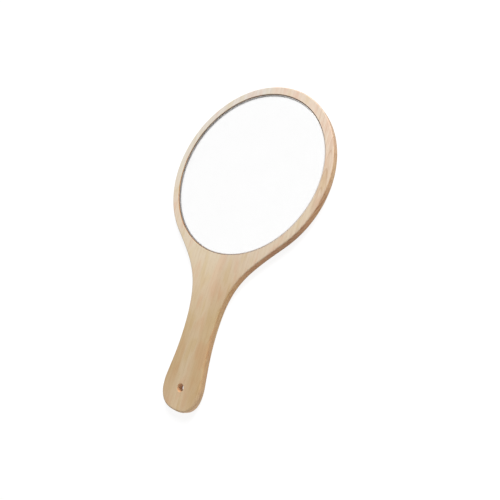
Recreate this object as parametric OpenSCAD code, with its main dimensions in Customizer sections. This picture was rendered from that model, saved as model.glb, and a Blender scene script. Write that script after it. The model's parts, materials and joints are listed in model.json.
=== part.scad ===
// Round wooden hand mirror: one board holds a glass mirror in a round recess, and
// narrows to a flat handle with a hole to hang it by. It lies on its back.
// Origin: on the back face, behind the centre of the glass. +X to the right,
// +Y to the top of the head, -Y along the handle, +Z out of the glass.

/* [Glass] */
// Diameter of the round glass
glass_d = 127; // [110:1:150]
// Thickness of the glass
glass_t = 2; // [1.8:0.1:4]
// Width of the ground bevel along both edges of the glass
bevel_w = 0.5; // [0.3:0.1:2]
// Depth of that bevel
bevel_t = 0.4; // [0.2:0.1:0.8]
// Thickness of the silver layer on the back of the glass
silver_t = 0.1; // [0.05:0.01:0.2]
// Thickness of the protective paint behind the silver
paint_t = 0.1; // [0.05:0.01:0.3]

/* [Foam pads] */
// Side of each square double-sided pad that holds the glass
pad_w = 22; // [12:1:26]
// Thickness of each pad
pad_t = 0.6; // [0.4:0.1:2]
// Distance from the glass's edge to the centre of each outer pad
pad_inset = 27; // [22:1:30]

/* [Board] */
// Play between the glass and the wall of its recess, all round
glass_play = 0.4; // [0.2:0.1:1.5]
// How far the glass lies below the front of the board
glass_set = 0.3; // [0:0.1:2]
// Wood left behind the glass
floor_t = 2.9; // [1.5:0.1:6]
// Width of the wooden rim round the recess
rim_w = 6.1; // [4.5:0.1:14]
// Rounding of the head's front edge
head_front_r = 1; // [0.4:0.1:2]
// Rounding of the head's back edge
head_back_r = 0.8; // [0.4:0.1:2]

/* [Handle] */
// Angle off the handle's line at which the neck leaves the head
neck_angle = 43.6; // [38:0.2:50]
// From the edge of the head to the waist of the handle
waist_run = 51; // [44:1:70]
// Width of the handle at its waist
waist_w = 26.5; // [20:0.2:30]
// From the waist to the widest place of the grip
grip_run = 36.6; // [32:0.2:60]
// Width of the grip at its widest
grip_w = 33.4; // [31:0.2:40]
// From the widest place of the grip to the end of the handle
end_run = 17.4; // [14:0.1:24]
// Fullness of the handle's end, where 2 is an ellipse
end_fullness = 2.55; // [2:0.05:3]
// Rounding of the grip's front edge
grip_front_r = 1.6; // [0.4:0.1:2.5]
// Rounding of the grip's back edge
grip_back_r = 1.3; // [0.4:0.1:2.5]

/* [Hanging hole] */
// Diameter of the hole
hole_d = 5.5; // [4:0.5:8]
// From the end of the handle to the centre of the hole
hole_inset = 15.3; // [10:0.1:18]
// Bevel at both mouths of the hole
hole_ease = 0.3; // [0.2:0.1:1]

/* [Hidden] */

$fn = 96;
OVERCUT = 1;

// Heights above the back face, from the recess's floor to the front of the board.
pad_z = floor_t;
paint_z = pad_z + pad_t;
silver_z = paint_z + paint_t;
glass_z = silver_z + silver_t;
board_t = glass_z + glass_t + glass_set;

// Radii on the head, and distances down the handle from the centre of the glass.
recess_r = glass_d / 2 + glass_play;
head_r = recess_r + rim_w;
coat_r = glass_d / 2 - bevel_w;
waist_y = head_r + waist_run;
grip_y = waist_y + grip_run;
end_y = grip_y + end_run;
hole_y = end_y - hole_inset;
pad_ring_r = glass_d / 2 - pad_inset;

// How strongly the neck follows the head's tangent and the handle's line at the
// ends of each curve, as shares of the distance between those ends.
NECK_PULL = [1.31, 1.43];
GRIP_PULL = [1.43, 0.32];

// Steps along the outline and across each rounded edge.
HEAD_STEPS = 44;
NECK_STEPS = 18;
GRIP_STEPS = 12;
END_STEPS = 12;
EDGE_STEPS = 3;

function unit(v) = v / norm(v);
function blend(a, b, t) = a + (b - a) * t;

// A curve from p to q that leaves along u and arrives along v.
function curve(p, q, u, v, t) =
    p * (2 * t ^ 3 - 3 * t ^ 2 + 1) + u * (t ^ 3 - 2 * t ^ 2 + t)
    + q * (3 * t ^ 2 - 2 * t ^ 3) + v * (t ^ 3 - t ^ 2);

DOWN = [0, -1];
neck_start = head_r * [sin(neck_angle), -cos(neck_angle)];
neck_dir = [-cos(neck_angle), -sin(neck_angle)];
waist = [waist_w / 2, -waist_y];
grip = [grip_w / 2, -grip_y];
neck_l = norm(waist - neck_start);
grip_l = norm(grip - waist);

// The right-hand outline, from the top of the head to the end of the handle.
head_arc = [
    for (i = [0:HEAD_STEPS - 1])
        let (a = blend(90, neck_angle - 90, i / HEAD_STEPS))
        head_r * [cos(a), sin(a)]
];
neck_curve = [
    for (i = [0:NECK_STEPS - 1])
        curve(
            neck_start, waist, neck_dir * neck_l * NECK_PULL[0],
            DOWN * neck_l * NECK_PULL[1], i / NECK_STEPS
        )
];
grip_curve = [
    for (i = [0:GRIP_STEPS - 1])
        curve(
            waist, grip, DOWN * grip_l * GRIP_PULL[0],
            DOWN * grip_l * GRIP_PULL[1], i / GRIP_STEPS
        )
];
end_curve = [
    for (i = [0:END_STEPS])
        let (a = 90 * i / END_STEPS)
        [
            grip_w / 2 * max(cos(a), 0) ^ (2 / end_fullness),
            -grip_y - end_run * sin(a) ^ (2 / end_fullness)
        ]
];
right_side = concat(head_arc, neck_curve, grip_curve, end_curve);
left_side = [for (i = [len(right_side) - 2:-1:1]) [-right_side[i].x, right_side[i].y]];
outline = concat(right_side, left_side);

// Unit vector out of the board at point i of the clockwise outline.
function outward(i) =
    let (
        n = len(outline),
        along = unit(outline[(i + 1) % n] - outline[(i + n - 1) % n])
    )
    [-along.y, along.x];

// The edges are crisp on the head and fuller towards the grip.
function grip_share(p) = min(max((-p.y - head_r) / (grip_y - head_r), 0), 1);
function edge_r(p, head, grip) = min(blend(head, grip, grip_share(p)), 0.45 * board_t);

// Inset and height of each step across the board's edge, back face first. The first
// and last steps stand past the faces, which board() then cuts flat.
function edge_section(p) =
    let (
        back = edge_r(p, head_back_r, grip_back_r),
        front = edge_r(p, head_front_r, grip_front_r)
    )
    concat(
        [[back, -OVERCUT]],
        [
            for (k = [0:EDGE_STEPS])
                let (a = 90 * k / EDGE_STEPS)
                back * [1 - sin(a), 1 - cos(a)]
        ],
        [
            for (k = [0:EDGE_STEPS])
                let (a = 90 * k / EDGE_STEPS)
                [front * (1 - cos(a)), board_t - front * (1 - sin(a))]
        ],
        [[front, board_t + OVERCUT]]
    );

// The solid board, before it is routed and drilled.
module board() {
    rows = len(outline);
    cols = 2 * EDGE_STEPS + 4;
    points = [
        for (i = [0:rows - 1])
            let (out = outward(i))
            for (s = edge_section(outline[i]))
                let (q = outline[i] - out * s[0])
                [q.x, q.y, s[1]]
    ];
    sides = [
        for (i = [0:rows - 1], k = [0:cols - 2])
            let (a = i * cols + k, b = ((i + 1) % rows) * cols + k)
            each [[a, a + 1, b + 1], [a, b + 1, b]]
    ];
    back = [for (i = [0:rows - 1]) i * cols];
    front = [for (i = [rows - 1:-1:0]) i * cols + cols - 1];
    intersection() {
        polyhedron(points, concat(sides, [back, front]), convexity = 4);
        translate([-head_r - OVERCUT, -end_y - OVERCUT, 0])
            cube([2 * (head_r + OVERCUT), end_y + head_r + 2 * OVERCUT, board_t]);
    }
}

// The hanging hole with its bevelled mouths.
module hanging_hole() {
    mouth_r = hole_d / 2 + hole_ease;
    translate([0, -hole_y, 0]) {
        translate([0, 0, -OVERCUT])
            cylinder(d = hole_d, h = board_t + 2 * OVERCUT);
        translate([0, 0, -OVERCUT])
            cylinder(r = mouth_r, h = OVERCUT);
        cylinder(r1 = mouth_r, r2 = hole_d / 2, h = hole_ease);
        translate([0, 0, board_t - hole_ease])
            cylinder(r1 = hole_d / 2, r2 = mouth_r, h = hole_ease);
        translate([0, 0, board_t])
            cylinder(r = mouth_r, h = OVERCUT);
    }
}

module paddle() {
    color("#dcbf98")
        difference() {
            board();
            translate([0, 0, floor_t])
                cylinder(r = recess_r, h = board_t);
            hanging_hole();
        }
}

module glass() {
    r = glass_d / 2;
    color("#dfe7e6", 0.5)
        translate([0, 0, glass_z])
            rotate_extrude()
                polygon([
                    [0, 0], [r - bevel_w, 0], [r, bevel_t],
                    [r, glass_t - bevel_t], [r - bevel_w, glass_t], [0, glass_t]
                ]);
}

module silver() {
    color("#f4f4f2")
        translate([0, 0, silver_z])
            cylinder(r = coat_r, h = silver_t);
}

module backing_paint() {
    color("#6d6f72")
        translate([0, 0, paint_z])
            cylinder(r = coat_r, h = paint_t);
}

// Pad 1 lies in the middle, and the others on a ring round it.
module foam_pad(i) {
    place = i == 1 ? [0, 0] : pad_ring_r * [cos(90 * i - 45), sin(90 * i - 45)];
    color("#f3f1ea")
        translate([place.x - pad_w / 2, place.y - pad_w / 2, pad_z])
            cube([pad_w, pad_w, pad_t]);
}

paddle();
glass();
silver();
backing_paint();
foam_pad(1);  // foam_pad_1
foam_pad(2);  // foam_pad_2
foam_pad(3);  // foam_pad_3
foam_pad(4);  // foam_pad_4
foam_pad(5);  // foam_pad_5
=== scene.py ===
"""Looks of the wooden hand mirror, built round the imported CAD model, in metres."""

import json
import math

import bmesh
import bpy
import numpy as np
from mathutils import Matrix, Vector

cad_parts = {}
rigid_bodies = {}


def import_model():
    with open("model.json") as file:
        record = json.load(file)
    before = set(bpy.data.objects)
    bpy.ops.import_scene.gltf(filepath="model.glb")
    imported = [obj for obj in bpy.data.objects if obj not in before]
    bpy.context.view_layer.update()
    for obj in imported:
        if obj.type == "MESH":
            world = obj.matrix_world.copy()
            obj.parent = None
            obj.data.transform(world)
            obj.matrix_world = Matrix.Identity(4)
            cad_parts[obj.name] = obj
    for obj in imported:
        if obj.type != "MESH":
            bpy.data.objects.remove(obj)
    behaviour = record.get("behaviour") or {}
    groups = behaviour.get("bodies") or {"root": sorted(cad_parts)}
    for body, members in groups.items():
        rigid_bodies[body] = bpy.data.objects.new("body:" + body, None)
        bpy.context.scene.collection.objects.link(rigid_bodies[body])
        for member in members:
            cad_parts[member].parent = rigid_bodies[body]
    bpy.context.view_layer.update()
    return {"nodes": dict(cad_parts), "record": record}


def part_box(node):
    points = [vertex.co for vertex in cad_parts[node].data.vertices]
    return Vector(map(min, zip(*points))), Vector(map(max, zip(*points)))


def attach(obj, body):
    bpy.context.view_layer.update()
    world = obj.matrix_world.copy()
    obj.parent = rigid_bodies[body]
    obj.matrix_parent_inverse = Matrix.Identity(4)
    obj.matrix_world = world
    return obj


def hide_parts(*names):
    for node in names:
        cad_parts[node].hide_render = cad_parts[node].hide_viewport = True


for leftover in list(bpy.data.objects):
    bpy.data.objects.remove(leftover)

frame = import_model()

MM = 0.001
DOWN = np.array([0.0, -1.0])

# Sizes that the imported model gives.
BOARD_LOW, BOARD_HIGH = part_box("paddle")
GLASS_LOW, GLASS_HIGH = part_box("glass")
HOLE = next(m for m in frame["record"]["mounts"] if m["name"] == "hang_hole")
BOARD_T = BOARD_HIGH.z
HEAD_R = BOARD_HIGH.y
END_Y = -BOARD_LOW.y
GLASS_R = GLASS_HIGH.x
GLASS_PLAY = 0.4 * MM
RECESS_R = GLASS_R + GLASS_PLAY
RECESS_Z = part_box("foam_pad_1")[0].z
HOLE_R = HOLE["dims"]["r_mm"] * MM
HOLE_Y = HOLE["pos_m"][1]

# The outline, as the part's source has it.
NECK_ANGLE = math.radians(43.6)
WAIST_Y = HEAD_R + 51 * MM
WAIST_W = 26.5 * MM
GRIP_Y = WAIST_Y + 36.6 * MM
GRIP_W = 33.4 * MM
END_FULLNESS = 2.55
NECK_PULL = (1.31, 1.43)
GRIP_PULL = (1.43, 0.32)
HEAD_FRONT_R = 1.0 * MM
HEAD_BACK_R = 0.8 * MM
GRIP_FRONT_R = 1.6 * MM
GRIP_BACK_R = 1.3 * MM

# Steps along the outline, round the openings and across an edge.
HEAD_STEPS = 176
NECK_STEPS = 72
GRIP_STEPS = 48
END_STEPS = 48
RECESS_STEPS = 256
HOLE_STEPS = 72
EDGE_STEPS = 7
EASE_STEPS = 4

# How strongly the steps round the handle's end crowd towards its widest place.
END_CROWDING = 1.2

# Small easings, and the width of the flat strip that keeps each face's shading flat.
RECESS_EASE = 0.2 * MM
HOLE_EASE = 0.3 * MM
STRIP = 0.12 * MM

# Points closer than this are joined, and bends sharper than these stay sharp.
JOIN_DISTANCE = 0.001 * MM
BOARD_SHARP = math.radians(40)
GLASS_SHARP = math.radians(20)

# The glass: its ground edge, and the air that keeps its back off the silver.
BEVEL_W = 0.5 * MM
BEVEL_T = 0.4 * MM
BACK_GAP = 0.02 * MM
GLASS_STEPS = 256


# ---------------------------------------------------------------- mesh helpers

def make_object(name, points, faces, materials):
    """A mesh object of these points and faces, with its materials."""
    mesh = bpy.data.meshes.new(name)
    mesh.from_pydata([tuple(p) for p in points], [], faces)
    for material in materials:
        mesh.materials.append(material)
    mesh.validate()
    piece = bpy.data.objects.new(name, mesh)
    bpy.context.scene.collection.objects.link(piece)
    return piece


def ring_faces(first, second, count):
    """Quads between two closed rings of points that start at these indices."""
    return [
        (first + i, second + i, second + (i + 1) % count, first + (i + 1) % count)
        for i in range(count)
    ]


def circle(radius, z, count, centre=(0.0, 0.0)):
    """A ring of points round a vertical axis, counter-clockwise from above."""
    angles = np.linspace(0, 2 * math.pi, count, endpoint=False)
    return [
        (centre[0] + radius * math.cos(a), centre[1] + radius * math.sin(a), z)
        for a in angles
    ]


# ------------------------------------------------------------------- the board

def curve(p, q, u, v, t):
    """Point t of a curve from p to q that leaves along u and arrives along v."""
    return (
        p * (2 * t**3 - 3 * t**2 + 1)
        + u * (t**3 - 2 * t**2 + t)
        + q * (3 * t**2 - 2 * t**3)
        + v * (t**3 - t**2)
    )


def right_side():
    """The right-hand outline, from the top of the head to the end of the handle."""
    neck_start = HEAD_R * np.array([math.sin(NECK_ANGLE), -math.cos(NECK_ANGLE)])
    neck_dir = np.array([-math.cos(NECK_ANGLE), -math.sin(NECK_ANGLE)])
    waist = np.array([WAIST_W / 2, -WAIST_Y])
    grip = np.array([GRIP_W / 2, -GRIP_Y])
    neck_l = np.linalg.norm(waist - neck_start)
    grip_l = np.linalg.norm(grip - waist)
    points = []
    for i in range(HEAD_STEPS):
        a = math.pi / 2 + (NECK_ANGLE - math.pi) * i / HEAD_STEPS
        points.append(HEAD_R * np.array([math.cos(a), math.sin(a)]))
    for i in range(NECK_STEPS):
        leave = neck_dir * neck_l * NECK_PULL[0]
        arrive = DOWN * neck_l * NECK_PULL[1]
        points.append(curve(neck_start, waist, leave, arrive, i / NECK_STEPS))
    for i in range(GRIP_STEPS):
        leave = DOWN * grip_l * GRIP_PULL[0]
        arrive = DOWN * grip_l * GRIP_PULL[1]
        points.append(curve(waist, grip, leave, arrive, i / GRIP_STEPS))
    for i in range(END_STEPS + 1):
        a = math.pi / 2 * (i / END_STEPS) ** END_CROWDING
        across = GRIP_W / 2 * max(math.cos(a), 0) ** (2 / END_FULLNESS)
        along = (END_Y - GRIP_Y) * math.sin(a) ** (2 / END_FULLNESS)
        points.append(np.array([across, -GRIP_Y - along]))
    return points


def outline():
    """The closed outline, clockwise from above, and the unit vector out of it."""
    right = right_side()
    left = [p * np.array([-1, 1]) for p in reversed(right[1:-1])]
    points = np.array(right + left)
    along = np.roll(points, -1, 0) - np.roll(points, 1, 0)
    along /= np.linalg.norm(along, axis=1)[:, None]
    return points, np.stack([-along[:, 1], along[:, 0]], 1)


def edge_radii(points):
    """The rounding of the back and front edge: crisp on the head, fuller on the grip."""
    share = np.clip((-points[:, 1] - HEAD_R) / (GRIP_Y - HEAD_R), 0, 1)
    back = HEAD_BACK_R + (GRIP_BACK_R - HEAD_BACK_R) * share
    front = HEAD_FRONT_R + (GRIP_FRONT_R - HEAD_FRONT_R) * share
    return back, front


def board_rings():
    """Rings of points across the board's outer edge, from its back to its front."""
    points, out = outline()
    back, front = edge_radii(points)
    steps = [(back + STRIP, 0 * back)]
    for k in range(EDGE_STEPS + 1):
        a = math.pi / 2 * k / EDGE_STEPS
        steps.append((back * (1 - math.sin(a)), back * (1 - math.cos(a))))
    for k in range(EDGE_STEPS + 1):
        a = math.pi / 2 * k / EDGE_STEPS
        steps.append((front * (1 - math.cos(a)), BOARD_T - front * (1 - math.sin(a))))
    steps.append((front + STRIP, BOARD_T + 0 * front))
    return [np.column_stack([points - out * inset[:, None], z]) for inset, z in steps]


def eased_rings(radius, ease, z_front, z_side, count, centre=(0.0, 0.0)):
    """Rings from a face, over the eased rim of a round opening, to a depth in it."""
    sign = 1 if z_front > z_side else -1
    rings = [circle(radius + ease + STRIP, z_front, count, centre)]
    for k in range(EASE_STEPS + 1):
        a = math.pi / 2 * k / EASE_STEPS
        r = radius + ease * (1 - math.sin(a))
        rings.append(circle(r, z_front - sign * ease * (1 - math.cos(a)), count, centre))
    rings.append(circle(radius, z_side, count, centre))
    return rings


def add_rings(points, faces, rings, flip=False):
    """Adds rings of points with quads between them, and says where each ring starts."""
    starts = []
    for ring in rings:
        starts.append(len(points))
        points.extend(tuple(p) for p in ring)
    for a, b in zip(starts, starts[1:]):
        quads = ring_faces(a, b, len(rings[0]))
        faces.extend([tuple(reversed(q)) for q in quads] if flip else quads)
    return starts


def fill_between(points, loops, upward):
    """Triangles that fill the flat face between closed loops of points."""
    bm = bmesh.new()
    made = {}
    for start, count in loops:
        for i in range(start, start + count):
            made[i] = bm.verts.new(points[i])
    numbers = {v: i for i, v in made.items()}
    for start, count in loops:
        for i in range(count):
            bm.edges.new((made[start + i], made[start + (i + 1) % count]))
    bmesh.ops.triangle_fill(bm, edges=bm.edges[:], use_beauty=True)
    faces = []
    for face in bm.faces:
        corner = [numbers[v] for v in face.verts]
        turned = (face.normal.z > 0) != upward
        faces.append(tuple(reversed(corner)) if turned else tuple(corner))
    bm.free()
    return faces


def make_board(material):
    """The paddle: rounded outside, routed for the glass and drilled for hanging."""
    points = []
    faces = []
    rings = board_rings()
    rows = len(rings[0])
    outer = add_rings(points, faces, rings)
    hole = (0.0, HOLE_Y)
    middle = BOARD_T / 2
    recess = add_rings(
        points, faces, eased_rings(RECESS_R, RECESS_EASE, BOARD_T, RECESS_Z, RECESS_STEPS)
    )
    front_hole = add_rings(
        points, faces, eased_rings(HOLE_R, HOLE_EASE, BOARD_T, middle, HOLE_STEPS, hole)
    )
    back_hole = add_rings(
        points, faces, eased_rings(HOLE_R, HOLE_EASE, 0.0, middle, HOLE_STEPS, hole), True
    )
    floor = list(range(recess[-1], recess[-1] + RECESS_STEPS))
    faces.append(tuple(floor))
    front_loops = [
        (outer[-1], rows), (recess[0], RECESS_STEPS), (front_hole[0], HOLE_STEPS)
    ]
    faces.extend(fill_between(points, front_loops, True))
    faces.extend(fill_between(points, [(outer[0], rows), (back_hole[0], HOLE_STEPS)], False))
    board = make_object("board", points, faces, [material])
    clean_up(board)
    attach(board, "root")
    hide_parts("paddle")


def clean_up(piece):
    """Joins points that coincide, turns the faces outwards and shades them smooth."""
    bm = bmesh.new()
    bm.from_mesh(piece.data)
    bmesh.ops.remove_doubles(bm, verts=bm.verts[:], dist=JOIN_DISTANCE)
    bmesh.ops.recalc_face_normals(bm, faces=bm.faces[:])
    bm.to_mesh(piece.data)
    bm.free()
    piece.data.shade_smooth()
    piece.data.set_sharp_from_angle(angle=BOARD_SHARP)


# ------------------------------------------------------------------- the glass

def make_glass(clear, ground):
    """The round glass: clear faces and a finely ground bevelled edge."""
    r = GLASS_R
    low = GLASS_LOW.z
    high = GLASS_HIGH.z
    profile = [
        (r - BEVEL_W, low + BACK_GAP), (r, low + BEVEL_T),
        (r, high - BEVEL_T), (r - BEVEL_W, high)
    ]
    points = []
    faces = []
    starts = add_rings(points, faces, [circle(a, z, GLASS_STEPS) for a, z in profile])
    edge_faces = len(faces)
    faces.append(tuple(reversed(range(starts[0], starts[0] + GLASS_STEPS))))
    faces.append(tuple(range(starts[-1], starts[-1] + GLASS_STEPS)))
    glass = make_object("mirror_glass", points, faces, [clear, ground])
    for face in glass.data.polygons[:edge_faces]:
        face.material_index = 1
    clean_up(glass)
    glass.data.set_sharp_from_angle(angle=GLASS_SHARP)
    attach(glass, "root")
    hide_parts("glass")


# ---------------------------------------------------------------- the foam pads

PAD_COUNT = 5
PAD_CORNER_R = 1.5 * MM
PAD_CORNER_STEPS = 8
PAD_BULGE = 0.15 * MM
PAD_LEVELS = 6


def rounded_square(centre, half, corner_r, z):
    """A square ring of points with rounded corners, counter-clockwise from above."""
    points = []
    for turn in range(4):
        first = turn * math.pi / 2
        diagonal = first + math.pi / 4
        reach = (half - corner_r) * math.sqrt(2)
        x = centre.x + reach * math.cos(diagonal)
        y = centre.y + reach * math.sin(diagonal)
        for step in range(PAD_CORNER_STEPS + 1):
            a = first + math.pi / 2 * step / PAD_CORNER_STEPS
            points.append((x + corner_r * math.cos(a), y + corner_r * math.sin(a), z))
    return points


def make_pad(number, material):
    """A die-cut foam pad, pressed flat by the glass so that its sides bulge."""
    low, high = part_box(f"foam_pad_{number}")
    centre = (low + high) / 2
    half = (high.x - low.x) / 2
    rings = []
    for level in range(PAD_LEVELS + 1):
        share = level / PAD_LEVELS
        inset = PAD_BULGE * (1 - math.sin(math.pi * share))
        z = low.z + share * (high.z - low.z)
        rings.append(rounded_square(centre, half - inset, PAD_CORNER_R, z))
    points = []
    faces = []
    starts = add_rings(points, faces, rings)
    count = len(rings[0])
    faces.append(tuple(reversed(range(starts[0], starts[0] + count))))
    faces.append(tuple(range(starts[-1], starts[-1] + count)))
    pad = make_object(f"soft_pad_{number}", points, faces, [material])
    clean_up(pad)
    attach(pad, "root")
    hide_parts(f"foam_pad_{number}")


# --------------------------------------------------------------- node helpers

def linear(code):
    """A linear colour with alpha from a web colour such as "#c8a878"."""
    parts = [int(code[i:i + 2], 16) / 255 for i in (1, 3, 5)]
    return [
        c / 12.92 if c <= 0.04045 else ((c + 0.055) / 1.055) ** 2.4 for c in parts
    ] + [1.0]


def fill_socket(tree, socket, value):
    """Gives a socket a value, or a link from another node's output."""
    if isinstance(value, bpy.types.NodeSocket):
        tree.links.new(value, socket)
    else:
        socket.default_value = value


def add(tree, kind, settings=None, **sockets):
    """Adds a node. Each named socket takes a value or a link."""
    node = tree.nodes.new(kind)
    for key, value in (settings or {}).items():
        setattr(node, key, value)
    for key, value in sockets.items():
        fill_socket(tree, node.inputs[key], value)
    return node


def maths(tree, operation, a, b=0.0):
    """The result of one sum on numbers or sockets."""
    node = add(tree, "ShaderNodeMath", {"operation": operation})
    fill_socket(tree, node.inputs[0], a)
    fill_socket(tree, node.inputs[1], b)
    return node.outputs[0]


def times(tree, a, b):
    """a multiplied by b."""
    return maths(tree, "MULTIPLY", a, b)


def plus(tree, a, b):
    """a and b added."""
    return maths(tree, "ADD", a, b)


def minus(tree, a, b):
    """b taken from a."""
    return maths(tree, "SUBTRACT", a, b)


def hypotenuse(tree, a, b):
    """The length of a vector from its two sides."""
    return maths(tree, "POWER", plus(tree, times(tree, a, a), times(tree, b, b)), 0.5)


def split_xyz(tree, vector):
    """The three parts of a vector."""
    node = add(tree, "ShaderNodeSeparateXYZ", Vector=vector)
    return node.outputs["X"], node.outputs["Y"], node.outputs["Z"]


def remap(tree, value, low, high, to_low=0.0, to_high=1.0, smooth=True):
    """Maps a value from one range to another, clamped."""
    kind = "SMOOTHSTEP" if smooth else "LINEAR"
    node = add(tree, "ShaderNodeMapRange", {"interpolation_type": kind}, Value=value)
    node.inputs["From Min"].default_value = low
    node.inputs["From Max"].default_value = high
    node.inputs["To Min"].default_value = to_low
    node.inputs["To Max"].default_value = to_high
    return node.outputs["Result"]


def stretched_noise(tree, place, size, detail=3.0, roughness=0.5):
    """Noise whose blotches have this size in millimetres along each axis."""
    mapped = add(tree, "ShaderNodeMapping", Vector=place)
    mapped.inputs["Scale"].default_value = [1 / (MM * s) for s in size]
    noise = add(tree, "ShaderNodeTexNoise", Vector=mapped.outputs["Vector"])
    noise.inputs["Scale"].default_value = 1.0
    noise.inputs["Detail"].default_value = detail
    noise.inputs["Roughness"].default_value = roughness
    return noise.outputs["Fac"]


def mix_colour(tree, share, a, b, blend="MIX"):
    """Colour a towards b by a share."""
    node = add(tree, "ShaderNodeMix", {"data_type": "RGBA", "blend_type": blend})
    for socket, value in ((0, share), (6, a), (7, b)):
        fill_socket(tree, node.inputs[socket], value)
    return node.outputs[2]


def mix_numbers(tree, share, a, b):
    """Number a towards b by a share."""
    node = add(tree, "ShaderNodeMix", {"data_type": "FLOAT"})
    for socket, value in ((0, share), (2, a), (3, b)):
        fill_socket(tree, node.inputs[socket], value)
    return node.outputs[0]


def tint(tree, base, share, code):
    """Multiplies the colour by a web colour, by a share."""
    return mix_colour(tree, share, base, linear(code), "MULTIPLY")


def colour_ramp(tree, value, stops):
    """A colour ramp through these (position, web colour) stops."""
    node = add(tree, "ShaderNodeValToRGB", Fac=value)
    ramp = node.color_ramp
    while len(ramp.elements) < len(stops):
        ramp.elements.new(0.5)
    for element, (position, code) in zip(ramp.elements, stops):
        element.position = position
        element.color = linear(code)
    return node.outputs["Color"]


def seen_by_camera_or_mirror(tree):
    """1 for rays from the camera, or from it by a reflection or through glass."""
    path = add(tree, "ShaderNodeLightPath")
    seen = maths(tree, "MAXIMUM", path.outputs["Is Camera Ray"], path.outputs["Is Glossy Ray"])
    return maths(tree, "MAXIMUM", seen, path.outputs["Is Transmission Ray"])


def new_material(name):
    """An empty node material, its tree and its output node."""
    material = bpy.data.materials.new(name)
    material.use_nodes = True
    material.node_tree.nodes.clear()
    tree = material.node_tree
    return material, tree, tree.nodes.new("ShaderNodeOutputMaterial")


def finish_shader(tree, out, base, **sockets):
    """A Principled shader with this base colour, joined to the material's output."""
    shader = add(tree, "ShaderNodeBsdfPrincipled", **sockets)
    fill_socket(tree, shader.inputs["Base Color"], base)
    tree.links.new(shader.outputs[0], out.inputs["Surface"])
    return shader


def bump_normal(tree, height, strength, depth):
    """A normal that stands for fine relief."""
    return add(
        tree, "ShaderNodeBump", Height=height, Strength=strength, Distance=depth
    ).outputs[0]


# -------------------------------------------------------------- the wood's tone, with painted sheen and shade

# Base colours along the board, from the end of the handle (0) to the top of the head (1): its
# pale middle, its warmer flanks, and its sawn and sanded edges. The pale, greyish head in the
# first two is partly the wood's own tone and partly painted sheen, the key lamp's whitish
# reflection on the head; the edge tones are partly painted shade.
PALE_AND_SHEEN_TONES = [
    (0.00, "#cdb593"), (0.10, "#c8b393"), (0.22, "#c7b08f"), (0.29, "#ccb696"),
    (0.35, "#d2bda0"), (0.40, "#d5c3a7"), (0.48, "#dacbb4"), (0.60, "#dbc9b4"),
    (0.72, "#dad2c2"), (0.83, "#d8d0c3"), (1.00, "#d4ccc2")
]
WARM_AND_SHEEN_TONES = [
    (0.00, "#c6ad8c"), (0.10, "#bea27a"), (0.22, "#c3aa84"), (0.29, "#c4ac88"),
    (0.35, "#c7ae8e"), (0.40, "#ccb79a"), (0.48, "#d2c0a9"), (0.60, "#d5c4ac"),
    (0.72, "#dac8b2"), (0.83, "#dfcdba"), (1.00, "#d6c5b4")
]
# Edge tones: partly the sawn edges' own tan and end grain, partly painted shade of the walls
# that turn away from the key lamp.
EDGE_AND_SHADE_TONES = [
    (0.00, "#e3be97"), (0.05, "#cdac86"), (0.10, "#c6a378"), (0.20, "#c9a779"),
    (0.31, "#d2ac7c"), (0.37, "#d4aa78"), (0.45, "#c6986d"), (0.53, "#ba8f67"),
    (0.63, "#d4a97b"), (0.72, "#d8b386"), (0.80, "#cfae89"), (0.86, "#b69b7c"),
    (1.00, "#bca38c")
]

# How upright the surface's normal is where the edges and the rounded corners begin.
EDGE_NORMAL = (0.9, 0.3)
CORNER_NORMAL = (0.998, 0.93)

# How far the tones wander along the board, as a share of its length, and across it.
WANDER_SIZE = (22, 60, 22)
WANDER_ALONG = 0.08
WANDER_ACROSS = 10 * MM

# Where the warm flanks set in: all along the right, and on the left of the grip.
RIGHT_FLANK_X = (1 * MM, 9 * MM)
LEFT_FLANK_X = (-3 * MM, -10 * MM)
LEFT_FLANK_Y = (-100 * MM, -128 * MM)

# The wall of the hole, lightened with painted light against the shade in it, by the distance
# from the hole's axis.
HOLE_WALL_LIT_TONE = "#dfbc93"
HOLE_WALL_LIT_REACH = (5 * MM, 3.5 * MM)

# Pink and straw-yellow drifts.
DRIFT_SIZE = (7, 24, 7)
DRIFT_SHARE = 0.5
PINK = "#fbe6dc"
STRAW = "#f6efd6"


def wood_tone_and_painted_light(tree, place, edge):
    """The board's colour before its grain: pale in the middle, warmer to the right, with
    painted sheen on the head and painted shade on the edges.
    """
    x, y, _ = split_xyz(tree, place)
    wander = minus(tree, stretched_noise(tree, place, WANDER_SIZE, 2), 0.5)
    along = remap(tree, y, -END_Y, HEAD_R, smooth=False)
    along = plus(tree, along, times(tree, wander, WANDER_ALONG))
    sideways = plus(tree, x, times(tree, wander, WANDER_ACROSS))
    right = remap(tree, sideways, *RIGHT_FLANK_X)
    left = remap(tree, sideways, *LEFT_FLANK_X)
    left = times(tree, left, remap(tree, y, *LEFT_FLANK_Y))
    flank = maths(tree, "MAXIMUM", right, left)
    # The pale, greyish head in these two ramps is partly painted sheen.
    pale_and_sheen = colour_ramp(tree, along, PALE_AND_SHEEN_TONES)
    warm_and_sheen = colour_ramp(tree, along, WARM_AND_SHEEN_TONES)
    face = mix_colour(tree, flank, pale_and_sheen, warm_and_sheen)
    # The edge tones carry painted shade as well as the edges' own colour.
    return mix_colour(tree, edge, face, colour_ramp(tree, along, EDGE_AND_SHADE_TONES))


def add_lit_hole_wall(tree, place, base, edge):
    """The wall of the hanging hole, lightened with painted light where it lies in shade."""
    x, y, _ = split_xyz(tree, place)
    reach = hypotenuse(tree, x, minus(tree, y, HOLE_Y))
    # Painted light: a pale tone that lifts the shade on the hole's wall.
    lit_wall = times(tree, remap(tree, reach, *HOLE_WALL_LIT_REACH), edge)
    return mix_colour(tree, lit_wall, base, linear(HOLE_WALL_LIT_TONE))


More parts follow.
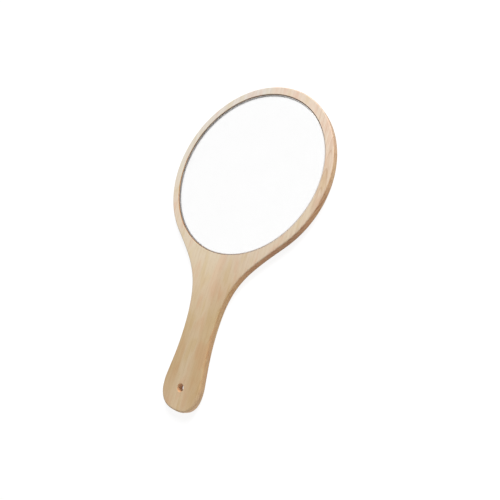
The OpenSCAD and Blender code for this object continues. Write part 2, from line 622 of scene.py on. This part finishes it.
def add_drifts(tree, place, base):
    """Pink and straw-yellow drifts along the grain."""
    drift = stretched_noise(tree, place, DRIFT_SIZE, 3)
    base = tint(tree, base, remap(tree, drift, 0.5, 0.66, 0, DRIFT_SHARE), PINK)
    return tint(tree, base, remap(tree, drift, 0.5, 0.34, 0, DRIFT_SHARE), STRAW)


# ------------------------------------------------------------- the growth rings

# The growth rings lie round a line below the right-hand rim that tilts a little.
RING_AXIS_X = 65.0 * MM
RING_AXIS_Z = -3.0 * MM
RING_TILT = 0.015
RING_WIDTH = 3.1 * MM
RING_START = 0.55 * MM
RING_WARP = 5.0 * MM
RING_WARP_SIZE = (30, 110, 30)
RING_TONE = "#b98a62"
FINE_RING_TONE = "#e3cdb6"
FINE_RINGS = 3

# How strong they are near their axis, far from it, and on the edges.
RING_NEAR = 6 * MM
RING_FAR = 26 * MM
RING_NEAR_SHARE = 0.2
RING_FAR_SHARE = 0.08
RING_EDGE_SHARE = 0.15
PATCH_SIZE = (5, 14, 5)

# Where the rings run out across the right-hand rim they draw a pointed figure.
FIGURE_X = 65.7 * MM
FIGURE_TIP = 31.0 * MM
FIGURE_CURVE = 2.0 / MM
FIGURE_WIDTH = 13.0 * MM
FIGURE_WARP = 1.2 * MM
FIGURE_WARP_SIZE = (3, 9, 3)
FIGURE_MIDDLE = (66.5 * MM, 8.0 * MM)
FIGURE_FADE_X = (6 * MM, 3.8 * MM)
FIGURE_FADE_Y = (32 * MM, 22 * MM)
FIGURE_DEPTH = 6 * MM
FIGURE_INSIDE_TONE = "#f6dccb"
FIGURE_INSIDE_SHARE = 0.15
FIGURE_LINE_SHARE = 0.3

# On the sawn edges the rings cross the board's thickness on a slant. On the lower right of the
# head they are made much darker, which is painted shade of the wall turned away from the key
# lamp.
SLANT = 1.1
SLANT_WIDTH = 3.2 * MM
SLANT_WARP = 3 * MM
SLANT_WARP_SIZE = (12, 40, 12)
SLANT_TONE = "#bd9478"
SLANT_SHARE = 0.22
SLANT_SHADED_SHARE = 0.75
SLANT_SHADED_X = (22 * MM, 34 * MM)
SLANT_SHADED_Y = (-8 * MM, -20 * MM)


def late_wood(tree, distance, width, start, peak):
    """A tone that darkens towards the end of each ring and drops at the next one."""
    phase = maths(tree, "FRACT", maths(tree, "DIVIDE", distance, width))
    rise = remap(tree, phase, start, peak)
    fall = remap(tree, phase, peak, 1.0, 1.0, 0.0)
    return times(tree, rise, fall)


def ring_distance(tree, place):
    """Distance from the rings' axis, warped a little, and how far to its right."""
    x, y, z = split_xyz(tree, place)
    across = minus(tree, x, RING_AXIS_X)
    straight = hypotenuse(tree, across, minus(tree, z, RING_AXIS_Z))
    tilt = times(tree, y, RING_TILT)
    warp = times(tree, stretched_noise(tree, place, RING_WARP_SIZE, 2), RING_WARP)
    bent = plus(tree, plus(tree, tilt, warp), RING_START)
    return plus(tree, straight, bent), across


def add_rings_tone(tree, place, base, edge, patchy):
    """Growth rings: clearest near the right-hand rim, faint bands elsewhere."""
    distance, across = ring_distance(tree, place)
    rings = late_wood(tree, distance, RING_WIDTH, 0.35, 0.94)
    fine = late_wood(tree, distance, RING_WIDTH / FINE_RINGS, 0.3, 0.8)
    off = maths(tree, "ABSOLUTE", across)
    near = remap(tree, off, RING_NEAR, RING_FAR, RING_NEAR_SHARE, RING_FAR_SHARE)
    strength = times(tree, mix_numbers(tree, edge, near, RING_EDGE_SHARE), patchy)
    base = tint(tree, base, times(tree, rings, strength), RING_TONE)
    return tint(tree, base, times(tree, fine, strength), FINE_RING_TONE)


def figure_mask(tree, x, y):
    """1 on the part of the rim that carries the pointed figure."""
    aside = maths(tree, "ABSOLUTE", minus(tree, x, FIGURE_MIDDLE[0]))
    beyond = maths(tree, "ABSOLUTE", minus(tree, y, FIGURE_MIDDLE[1]))
    return times(
        tree, remap(tree, aside, *FIGURE_FADE_X), remap(tree, beyond, *FIGURE_FADE_Y)
    )


def add_figure(tree, place, base):
    """The lines of the pointed figure, and the pinker wood that they enclose."""
    x, y, _ = split_xyz(tree, place)
    warp = minus(tree, stretched_noise(tree, place, FIGURE_WARP_SIZE, 2), 0.5)
    x = plus(tree, x, times(tree, warp, FIGURE_WARP))
    off = minus(tree, x, FIGURE_X)
    bow = times(tree, times(tree, off, off), FIGURE_CURVE)
    depth = minus(tree, plus(tree, y, bow), FIGURE_TIP)
    mask = figure_mask(tree, x, y)
    inside = times(tree, remap(tree, depth, 0.0, -FIGURE_DEPTH), mask)
    lines = times(tree, late_wood(tree, depth, FIGURE_WIDTH, 0.72, 0.94), mask)
    inside = times(tree, inside, FIGURE_INSIDE_SHARE)
    base = tint(tree, base, inside, FIGURE_INSIDE_TONE)
    return tint(tree, base, times(tree, lines, FIGURE_LINE_SHARE), RING_TONE)


def add_slanted_rings(tree, place, base, edge, patchy):
    """Growth rings on the sawn edges, darkened on the lower right of the head by painted
    shade.
    """
    x, y, z = split_xyz(tree, place)
    warp = times(tree, stretched_noise(tree, place, SLANT_WARP_SIZE, 2), SLANT_WARP)
    across = plus(tree, plus(tree, x, times(tree, z, SLANT)), warp)
    sawn = times(tree, late_wood(tree, across, SLANT_WIDTH, 0.15, 0.8), edge)
    # Painted shade: the rings grow much darker on the lower right of the head.
    shaded_side = times(
        tree, remap(tree, x, *SLANT_SHADED_X), remap(tree, y, *SLANT_SHADED_Y)
    )
    share = mix_numbers(tree, shaded_side, SLANT_SHARE, SLANT_SHADED_SHARE)
    return tint(tree, base, times(tree, sawn, times(tree, share, patchy)), SLANT_TONE)


# ------------------------------------------------------------- the wood's grain

STREAK_SIZE = (0.8, 34, 0.8)
STREAK_TONE = "#c9a37c"
STREAK_SHARE = 0.13
FLECK_SIZE = (0.3, 2.6, 0.45)
FLECK_TONE = "#9c6a45"
FLECK_SHARE = 0.16
BLUSH_SIZE = (2.2, 8, 2.2)
BLUSH_TONE = "#d09a78"
CORNER_SHARE = 0.24
SHEEN_ROUGHNESS = (0.42, 0.56)
GRAIN_DEPTH = 0.03 * MM
WOOD_IOR = 1.5


def add_grain(tree, place, base, corner):
    """Streaks of the grain, brown flecks, and a blush on the sanded corners."""
    streaks = stretched_noise(tree, place, STREAK_SIZE, 4, 0.6)
    base = tint(tree, base, remap(tree, streaks, 0.45, 0.7, 0, STREAK_SHARE), STREAK_TONE)
    flecks = remap(tree, stretched_noise(tree, place, FLECK_SIZE, 1), 0.64, 0.74)
    amount = mix_numbers(tree, corner, FLECK_SHARE, CORNER_SHARE)
    base = tint(tree, base, times(tree, flecks, amount), FLECK_TONE)
    blush = remap(tree, stretched_noise(tree, place, BLUSH_SIZE, 2), 0.57, 0.68)
    amount = times(tree, corner, CORNER_SHARE)
    return tint(tree, base, times(tree, blush, amount), BLUSH_TONE), streaks, flecks


def wood_material():
    """Finely sanded beech: pale on the head, honey on the grip, tan on the edges; the pale
    head is partly painted sheen and the edge tones partly painted shade.
    """
    material, tree, out = new_material("beech")
    coordinates = add(tree, "ShaderNodeTexCoord")
    place = coordinates.outputs["Object"]
    upright = maths(tree, "ABSOLUTE", split_xyz(tree, coordinates.outputs["Normal"])[2])
    edge = remap(tree, upright, *EDGE_NORMAL)
    corner = remap(tree, upright, *CORNER_NORMAL)
    patchy = remap(tree, stretched_noise(tree, place, PATCH_SIZE, 2), 0.36, 0.6, 0.3, 1.0)
    base = wood_tone_and_painted_light(tree, place, edge)
    base = add_lit_hole_wall(tree, place, base, edge)
    base = add_drifts(tree, place, base)
    base = add_rings_tone(tree, place, base, edge, patchy)
    base = add_figure(tree, place, base)
    base = add_slanted_rings(tree, place, base, edge, patchy)
    base, streaks, flecks = add_grain(tree, place, base, corner)
    relief = plus(tree, times(tree, streaks, 0.7), times(tree, flecks, -0.3))
    normal = bump_normal(tree, relief, 0.25, GRAIN_DEPTH)
    rough = remap(tree, streaks, 0.3, 0.7, *SHEEN_ROUGHNESS)
    finish_shader(tree, out, base, Roughness=rough, Normal=normal, IOR=WOOD_IOR)
    return material


# ---------------------------------------------------------- the other materials

GLASS_IOR = 1.52
GROUND_TONES = ("#dedad6", "#eeeae7")
GRIT_SIZE = (0.12, 0.12, 0.12)
SILVER_TONES = ("#fdfdfd", "#ffffff")
CLOUD_SIZE = (18, 18, 18)
PAINT_TONES = ("#66686b", "#74767a")
RIPPLE_SIZE = (2, 2, 2)
FOAM_TONES = ("#dedad0", "#f4f2ec")
FOAM_CELL = 0.35 * MM


def mix_tones(tree, share, tones):
    """Between two web colours by a share."""
    return mix_colour(tree, share, linear(tones[0]), linear(tones[1]))


def clear_glass_material():
    """Clear float glass."""
    material, tree, out = new_material("clear_glass")
    shader = finish_shader(tree, out, (1.0, 1.0, 1.0, 1.0), Roughness=0.0, IOR=GLASS_IOR)
    shader.inputs["Transmission Weight"].default_value = 1.0
    return material


def ground_glass_material():
    """The ground bevel: frosted grey by a fine wheel, with its fine scoring."""
    material, tree, out = new_material("ground_glass")
    place = add(tree, "ShaderNodeTexCoord").outputs["Object"]
    grit = stretched_noise(tree, place, GRIT_SIZE)
    normal = bump_normal(tree, grit, 0.3, 0.02 * MM)
    rough = remap(tree, grit, 0.3, 0.7, 0.35, 0.55)
    tone = mix_tones(tree, grit, GROUND_TONES)
    shader = finish_shader(tree, out, tone, Roughness=rough, Normal=normal, IOR=GLASS_IOR)
    shader.inputs["Transmission Weight"].default_value = 0.35
    return material


def silver_material():
    """The mirror's silver, with the faintest cloudiness."""
    material, tree, out = new_material("mirror_silver")
    place = add(tree, "ShaderNodeTexCoord").outputs["Object"]
    cloud = stretched_noise(tree, place, CLOUD_SIZE, 2)
    tone = mix_tones(tree, cloud, SILVER_TONES)
    finish_shader(tree, out, tone, Metallic=1.0, Roughness=0.0)
    return material


def paint_material():
    """The grey protective paint behind the silver."""
    material, tree, out = new_material("back_paint")
    place = add(tree, "ShaderNodeTexCoord").outputs["Object"]
    ripple = stretched_noise(tree, place, RIPPLE_SIZE)
    normal = bump_normal(tree, ripple, 0.2, 0.02 * MM)
    rough = remap(tree, ripple, 0.3, 0.7, 0.5, 0.65)
    tone = mix_tones(tree, ripple, PAINT_TONES)
    finish_shader(tree, out, tone, Roughness=rough, Normal=normal)
    return material


def foam_material():
    """White closed-cell foam of the double-sided pads."""
    material, tree, out = new_material("foam_tape")
    place = add(tree, "ShaderNodeTexCoord").outputs["Object"]
    cells = add(tree, "ShaderNodeTexVoronoi", Vector=place, Scale=1 / FOAM_CELL)
    depth = cells.outputs["Distance"]
    normal = bump_normal(tree, depth, 0.5, 0.05 * MM)
    tone = mix_tones(tree, depth, FOAM_TONES)
    finish_shader(tree, out, tone, Roughness=0.85, Normal=normal)
    return material


def dress(node, material):
    """Gives a CAD node its material."""
    slots = frame["nodes"][node].data.materials
    slots.clear()
    slots.append(material)


# ------------------------------------------------------------ floor and lights

FLOOR_SIZE = 6.0
FLOOR_DROP = 0.05 * MM
FLOOR_GLOW = 0.84
FLOOR_SHADED = 0.22
FLOOR_TONE = 0.7
WORLD_LIGHT = 0.32
WORLD_WHITE = 1.0

# Each lamp's direction in degrees, its distance and size, and its power in watts.
KEY_AZIMUTH = 84
KEY_ELEVATION = 34
KEY_DISTANCE = 1.3
KEY_SIZE = 0.75
KEY_POWER = 24.0
FILL_AZIMUTH = -35
FILL_ELEVATION = 35
FILL_DISTANCE = 0.6
FILL_SIZE = 0.3
FILL_POWER = 0.8


def diffuse(tree, tone):
    """A grey diffuse shader."""
    shader = add(tree, "ShaderNodeBsdfDiffuse")
    shader.inputs["Color"].default_value = (tone, tone, tone, 1)
    return shader.outputs[0]


def floor_material():
    """White floor that glows for the camera and mirrors, and keeps a soft shadow."""
    material, tree, out = new_material("white_floor")
    glow = add(tree, "ShaderNodeEmission")
    glow.inputs["Color"].default_value = (1, 1, 1, 1)
    glow.inputs["Strength"].default_value = FLOOR_GLOW
    shown = add(tree, "ShaderNodeAddShader")
    tree.links.new(glow.outputs[0], shown.inputs[0])
    tree.links.new(diffuse(tree, FLOOR_SHADED), shown.inputs[1])
    mix = add(tree, "ShaderNodeMixShader", Fac=seen_by_camera_or_mirror(tree))
    tree.links.new(diffuse(tree, FLOOR_TONE), mix.inputs[1])
    tree.links.new(shown.outputs[0], mix.inputs[2])
    tree.links.new(mix.outputs[0], out.inputs["Surface"])
    return material


def make_floor():
    """The plain floor that the mirror lies on."""
    half = FLOOR_SIZE / 2
    points = [(-half, -half, 0), (half, -half, 0), (half, half, 0), (-half, half, 0)]
    floor = make_object("floor", points, [(0, 1, 2, 3)], [floor_material()])
    floor.location.z = -FLOOR_DROP


def make_world():
    """White for the camera and mirrors, and a softer even light for the surfaces."""
    world = bpy.data.worlds.new("studio")
    bpy.context.scene.world = world
    world.use_nodes = True
    tree = world.node_tree
    tree.nodes.clear()
    seen = seen_by_camera_or_mirror(tree)
    background = add(tree, "ShaderNodeBackground")
    background.inputs["Color"].default_value = (1, 1, 1, 1)
    strength = mix_numbers(tree, seen, WORLD_LIGHT, WORLD_WHITE)
    tree.links.new(strength, background.inputs["Strength"])
    out = add(tree, "ShaderNodeOutputWorld")
    tree.links.new(background.outputs[0], out.inputs["Surface"])


def area_light(name, place, aim, size, power):
    """A soft square lamp, turned to its aim, that doesn't show in the mirror."""
    lamp = bpy.data.lights.new(name, "AREA")
    lamp.shape = "SQUARE"
    lamp.size = size
    lamp.energy = power
    obj = bpy.data.objects.new(name, lamp)
    obj.location = place
    obj.visible_glossy = False
    obj.visible_transmission = False
    obj.rotation_mode = "QUATERNION"
    obj.rotation_quaternion = (Vector(aim) - Vector(place)).to_track_quat("-Z", "Y")
    bpy.context.scene.collection.objects.link(obj)


def away_from(centre, azimuth, elevation, distance):
    """The point at this direction, in degrees, and distance from a centre."""
    a = math.radians(azimuth)
    e = math.radians(elevation)
    away = (math.cos(a) * math.cos(e), math.sin(a) * math.cos(e), math.sin(e))
    return Vector(centre) + distance * Vector(away)


def make_lights():
    """A soft key lamp beyond the head, and a weak one on the camera's side."""
    head = (0.0, 0.0, BOARD_T)
    grip = (0.0, HOLE_Y, BOARD_T)
    key = away_from(head, KEY_AZIMUTH, KEY_ELEVATION, KEY_DISTANCE)
    fill = away_from(grip, FILL_AZIMUTH, FILL_ELEVATION, FILL_DISTANCE)
    area_light("key", key, head, KEY_SIZE, KEY_POWER)
    area_light("fill", fill, grip, FILL_SIZE, FILL_POWER)


# ------------------------------------------------------------------ the camera

CAMERA_AIM = (0.02475, -0.05732)
CAMERA_DISTANCE = 0.28347
CAMERA_AZIMUTH = math.radians(-14.248)
CAMERA_ELEVATION = math.radians(53.014)
CAMERA_ROLL = math.radians(62.603)
CAMERA_LENS = 29.854
CAMERA_SENSOR = 36.0
CAMERA_NEAR = 0.01


def make_camera():
    """The camera, at an angle round and above the front of the board."""
    back = Vector((
        math.cos(CAMERA_AZIMUTH) * math.cos(CAMERA_ELEVATION),
        math.sin(CAMERA_AZIMUTH) * math.cos(CAMERA_ELEVATION),
        math.sin(CAMERA_ELEVATION),
    ))
    level = Vector((0, 0, 1)).cross(back).normalized()
    upward = back.cross(level)
    up = upward * math.cos(CAMERA_ROLL) + level * math.sin(CAMERA_ROLL)
    right = up.cross(back)
    data = bpy.data.cameras.new("camera")
    data.sensor_width = CAMERA_SENSOR
    data.lens = CAMERA_LENS
    data.clip_start = CAMERA_NEAR
    camera = bpy.data.objects.new("camera", data)
    turn = Matrix((right, up, back)).transposed().to_4x4()
    aim = Vector((CAMERA_AIM[0], CAMERA_AIM[1], BOARD_T))
    camera.matrix_world = Matrix.Translation(aim + back * CAMERA_DISTANCE) @ turn
    bpy.context.scene.collection.objects.link(camera)
    bpy.context.scene.camera = camera


# ---------------------------------------------------------------------- build

make_camera()
bpy.context.scene.view_settings.view_transform = "Standard"
make_world()
make_lights()
make_floor()

make_board(wood_material())
make_glass(clear_glass_material(), ground_glass_material())
dress("silver", silver_material())
dress("backing_paint", paint_material())
foam = foam_material()
for number in range(1, PAD_COUNT + 1):
    make_pad(number, foam)
